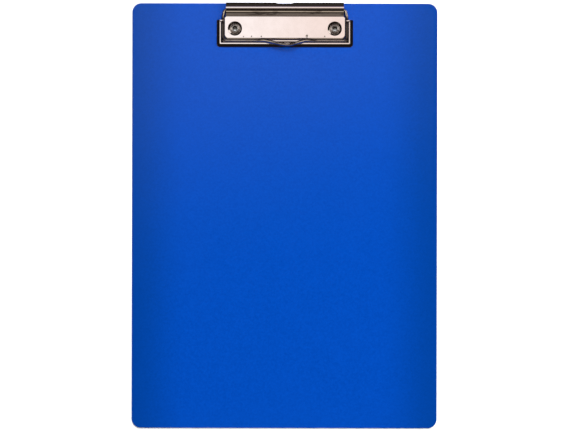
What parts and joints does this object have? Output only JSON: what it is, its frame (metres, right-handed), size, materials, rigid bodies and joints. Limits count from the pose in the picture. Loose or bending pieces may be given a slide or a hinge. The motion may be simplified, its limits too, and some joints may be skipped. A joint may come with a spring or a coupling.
{
  "type": "clipboard",
  "caption": "Flat plastic clipboard for A4 paper with a low riveted clip: a sprung wire bail carries a pressed clamping jaw, and a hanger pulls out at the top edge.",
  "frame": {"origin": "middle of the board's back, which lies flat on Z = 0", "axes": "+Y along the board towards the clip, +Z out of the writing side, +X to the right when the clip is at the top"},
  "size_m": [0.23, 0.32, 0.0102],
  "materials": {
    "board_plastic": "fine matt grain, deep blue",
    "nickel_plate": "bright nickel plate on pressed steel",
    "rivet_steel": "plated steel, slightly dulled by riveting",
    "spring_wire": "bright nickel-plated drawn wire"
  },
  "bodies": {
    "base": {"board": "board_plastic", "base_plate": "nickel_plate", "rivet_left": "rivet_steel", "rivet_right": "rivet_steel"},
    "clamp": {"wire_bail": "spring_wire", "clamp_jaw": "nickel_plate"},
    "hanger": {"pull_out_hanger": "nickel_plate"}
  },
  "joints": [
    {"name": "clamp_hinge", "type": "hinge", "parent": "base", "child": "clamp", "pos_m": [0, 0.155, 0.0039], "axis": [-1, 0, 0], "range_deg": [0, 60], "stiffness_Nm_per_rad": 0.3, "springref_deg": -57.3},
    {"name": "hanger_slide", "type": "slide", "parent": "base", "child": "hanger", "axis": [0, 1, 0], "range_m": [0, 0.0125]}
  ]
}
